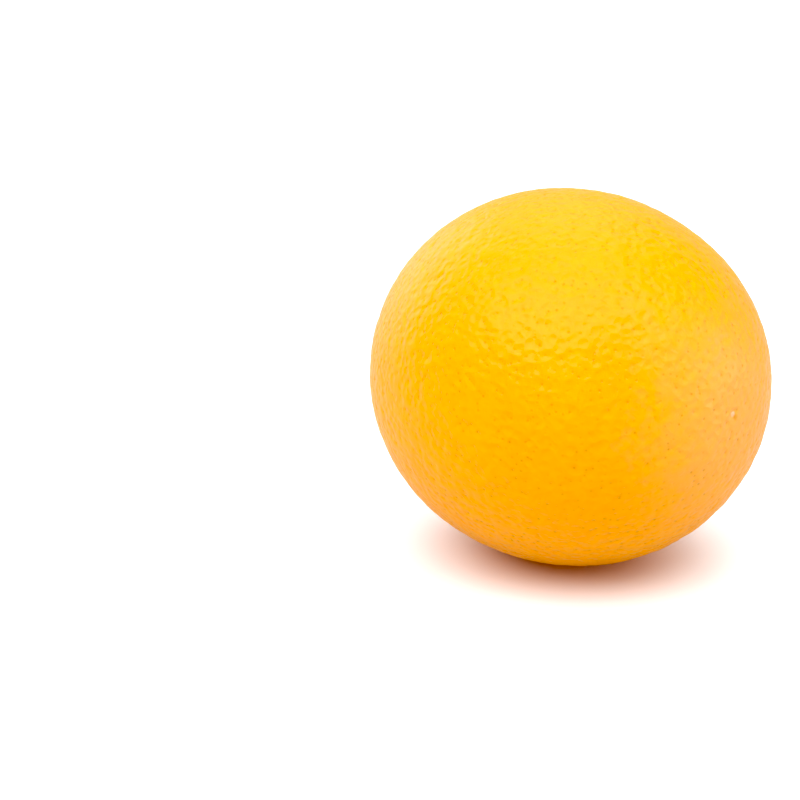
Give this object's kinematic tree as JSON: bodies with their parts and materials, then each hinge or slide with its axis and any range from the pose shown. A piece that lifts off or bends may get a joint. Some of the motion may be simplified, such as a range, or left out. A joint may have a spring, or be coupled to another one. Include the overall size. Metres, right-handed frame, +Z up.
{
  "type": "orange",
  "caption": "Whole sweet orange lying on its side on a small flat spot, with a shallow stem dip, a dried stem button and a faint blossom scar.",
  "frame": {"origin": "middle of the flat spot that the fruit rests on, at z = 0", "axes": "+Z up; +X along the core, level, from the stem end to the blossom end; +Y across the core"},
  "size_m": [0.0834, 0.076, 0.0753],
  "materials": {
    "peel": "waxy satin citrus peel, finely pitted with oil glands"
  },
  "bodies": {
    "root": {"orange": "peel"}
  },
  "joints": []
}
